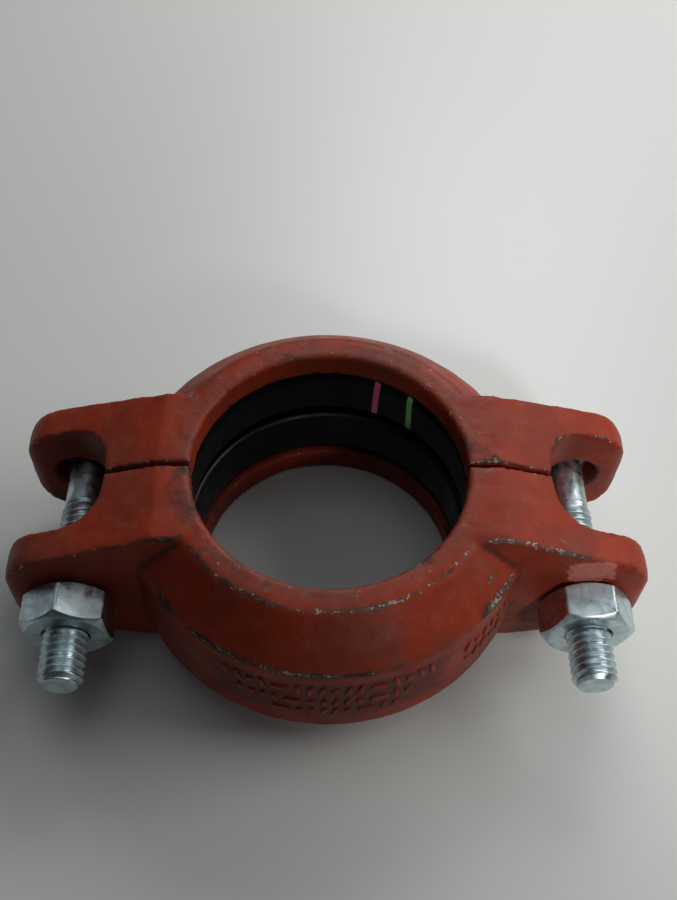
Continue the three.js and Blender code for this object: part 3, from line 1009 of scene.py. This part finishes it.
def cut_off(work, y_mm, keep_above):
    """Removes what lies beyond a plane across the bolt."""
    side = -1 if keep_above else 1
    bmesh.ops.bisect_plane(work, geom=work.verts[:] + work.edges[:] + work.faces[:], dist=1e-7,
                           plane_co=(0, y_mm * MM, 0), plane_no=(0, side, 0), clear_outer=True)


def set_radius(vert, radius_mm):
    """Moves a point about the Y axis to a given radius."""
    now = math.hypot(vert.co.x, vert.co.z)
    vert.co.x *= radius_mm * MM / now
    vert.co.z *= radius_mm * MM / now


def thread_and_shank(tip, thread_end, shank_end):
    """A right-hand thread about the Y axis with its shank, closed at both ends."""
    work = bmesh.new()
    turns = math.ceil((thread_end - tip) / PITCH_MM) + 2
    start = tip - PITCH_MM * 1.5
    shares = PROFILE + ((1.0, 0.0),)
    points = [work.verts.new(((ROOT + (CREST - ROOT) * high) * MM, (start + along * PITCH_MM) * MM, 0))
              for along, high in shares]
    for first, second in zip(points, points[1:]):
        work.edges.new((first, second))
    bmesh.ops.spin(work, geom=work.verts[:] + work.edges[:], cent=(0, 0, 0), axis=(0, 1, 0),
                   dvec=(0, PITCH_MM * MM / TURN_STEPS, 0), angle=2 * math.pi * turns,
                   steps=TURN_STEPS * turns, use_merge=False)
    bmesh.ops.remove_doubles(work, verts=work.verts, dist=0.012 * MM)
    cut_off(work, tip, keep_above=True)
    cut_off(work, thread_end, keep_above=False)
    for vert in work.verts:
        radius = math.hypot(vert.co.x, vert.co.z) / MM
        y_mm = vert.co.y / MM
        radius = min(radius, TIP_RADIUS + (y_mm - tip) * 0.9)
        fade = smooth_step(y_mm, thread_end - RUN_OUT, thread_end)
        set_radius(vert, radius + (SHANK - radius) * float(fade))
    rim = [edge for edge in work.edges
           if edge.is_boundary and edge.verts[0].co.y > (thread_end - 0.01) * MM]
    grown = bmesh.ops.extrude_edge_only(work, edges=rim)["geom"]
    top = [item for item in grown if isinstance(item, bmesh.types.BMVert)]
    bmesh.ops.translate(work, vec=(0, (shank_end - thread_end) * MM, 0), verts=top)
    bmesh.ops.holes_fill(work, edges=[edge for edge in work.edges if edge.is_boundary], sides=0)
    face_outward(work)
    return work


def neck_and_head(seat, neck_end, head_top):
    """Oval neck and domed head, each a closed body, about the Y axis."""
    work = bmesh.new()
    outline = bmesh.ops.create_circle(work, cap_ends=True, radius=CREST * MM, segments=48,
                                      matrix=Matrix.Rotation(math.pi / 2, 4, "X"))["verts"]
    half = (NECK_WIDTH / 2 - CREST) * MM
    for vert in outline:
        vert.co.x += math.copysign(half, vert.co.x) if abs(vert.co.x) > 1e-6 else 0
        vert.co.y = neck_end * MM
    grown = bmesh.ops.extrude_face_region(work, geom=work.faces[:])["geom"]
    top = [item for item in grown if isinstance(item, bmesh.types.BMVert)]
    bmesh.ops.translate(work, vec=(0, (seat + 0.8 - neck_end) * MM, 0), verts=top)
    rise = head_top - seat
    dome = [
        (0.0, seat),
        (head_radius - 0.5, seat),
        (head_radius - 0.1, seat + 0.3),
        (head_radius, seat + 0.7),
        (head_radius, seat + 0.26 * rise),
        (head_radius - 0.25, seat + 0.38 * rise),
    ]
    for step in range(1, 11):
        angle = math.pi / 2 * step / 10
        high = 0.38 + 0.62 * math.sin(angle)
        dome.append(((head_radius - 0.25) * math.cos(angle), seat + high * rise))
    points = [work.verts.new((radius * MM, y_mm * MM, 0)) for radius, y_mm in dome]
    chain = [work.edges.new(pair) for pair in zip(points, points[1:])]
    bmesh.ops.spin(work, geom=points + chain, cent=(0, 0, 0), axis=(0, 1, 0), dvec=(0, 0, 0),
                   angle=2 * math.pi, steps=64, use_merge=True)
    bmesh.ops.remove_doubles(work, verts=work.verts, dist=0.005 * MM)
    face_outward(work)
    return work


def make_bolt(name, x_mm, turn):
    """One whole bolt, its thread turned by an angle so that the two bolts differ."""
    stem = thread_and_shank(bolt_tip, bolt_tip + THREAD_LENGTH, SEAT_Y - NECK_LENGTH + 1.5)
    bmesh.ops.rotate(stem, cent=(0, 0, 0), matrix=Matrix.Rotation(turn, 3, "Y"), verts=stem.verts)
    top = neck_and_head(SEAT_Y, SEAT_Y - NECK_LENGTH, bolt_top)
    work = bmesh.new()
    absorb(work, top)
    absorb(work, stem)
    bmesh.ops.translate(work, vec=(x_mm * MM, 0, mid_z * MM), verts=work.verts)
    mesh = bpy.data.meshes.new(name)
    work.to_mesh(mesh)
    print(name, "open edges:", sum(not edge.is_manifold for edge in work.edges))
    work.free()
    carry_bends(mesh, 0.35, 1)
    mesh.shade_smooth()
    mesh.set_sharp_from_angle(angle=math.radians(38))
    piece = finish_piece(name + "_threaded", mesh, zinc, "rear_half")
    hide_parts(name)


make_bolt("bolt_left", -bolt_x, 0.6)
make_bolt("bolt_right", bolt_x, 2.1)

# %% [markdown]
# ## Nuts
# A heavy hex nut is cut from hexagon bar and both ends are bevelled to a cone, which leaves the
# curved shoulders seen on every nut. The same cut is made here by rule: a ring of points follows
# the hexagon, and each point drops as far as the cone would cut at that distance from the axis.
# Rings run from the bore over one end, down the sides and back over the other end, and faces join
# each ring to the next. The bore has its countersink.

# %% Make the nuts
NUT_STEPS = 180
NUT_RINGS = 11  # six of one end's profile, and back through five of them
NUT_FLATS = 17.46
CORNER_CUT = 9.93  # corners are slightly blunted
FACE_CIRCLE = 8.2
CONE_SLOPE = 0.62
EDGE_BREAK = 0.13
BORE = 4.80
SINK = 5.15


def hexagon_radius(angle):
    """Distance from the axis to the hexagon's side at an angle in radians; a flat lies at 90 degrees."""
    off_flat = angle % (math.pi / 3) - math.pi / 6
    return min(NUT_FLATS / 2 / math.cos(off_flat), CORNER_CUT)


def nut_outline(side, depth):
    """One end's profile, from the bore out to the middle of a side, as (radius, depth) pairs."""
    drop = (side - FACE_CIRCLE) * CONE_SLOPE
    return [
        (BORE, SINK - BORE),
        (SINK, 0.0),
        (FACE_CIRCLE, 0.0),
        (side - EDGE_BREAK, drop - EDGE_BREAK * CONE_SLOPE),
        (side, drop + EDGE_BREAK),
        (side, depth / 2),
    ]


def make_nut(node, x_mm, lean, body):
    """One nut, leaning by an angle in degrees from having a flat on top."""
    depth = nut_seat - nut_front
    work = bmesh.new()
    rings = []
    for place in range(NUT_RINGS):
        ring = []
        for step in range(NUT_STEPS):
            angle = 2 * math.pi * (step + 0.5) / NUT_STEPS
            reach, height = nut_outline(hexagon_radius(angle), depth)[min(place, NUT_RINGS - 1 - place)]
            height = height if place <= NUT_RINGS // 2 else depth - height
            spot = (reach * math.cos(angle) * MM, (nut_front + height) * MM, reach * math.sin(angle) * MM)
            ring.append(work.verts.new(spot))
        rings.append(ring)
    for first, second in zip(rings, rings[1:] + rings[:1]):
        for step in range(NUT_STEPS):
            after = (step + 1) % NUT_STEPS
            work.faces.new((first[step], first[after], second[after], second[step]))
    face_outward(work)
    lean_over = Matrix.Rotation(math.radians(lean), 3, "Y")
    bmesh.ops.rotate(work, cent=(0, 0, 0), matrix=lean_over, verts=work.verts)
    bmesh.ops.translate(work, vec=(x_mm * MM, 0, mid_z * MM), verts=work.verts)
    mesh = bpy.data.meshes.new(node)
    work.to_mesh(mesh)
    print(node, "open edges:", sum(not edge.is_manifold for edge in work.edges),
          "volume in mm3:", round(work.calc_volume(signed=True) / MM**3))
    work.free()
    carry_bends(mesh, 0.3, 1)
    mesh.shade_smooth()
    mesh.set_sharp_from_angle(angle=math.radians(31))
    piece = finish_piece(node + "_hex", mesh, zinc, body)
    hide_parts(node)


make_nut("nut_left", -bolt_x, 24.4, "left_nut")
make_nut("nut_right", bolt_x, -4.2, "right_nut")
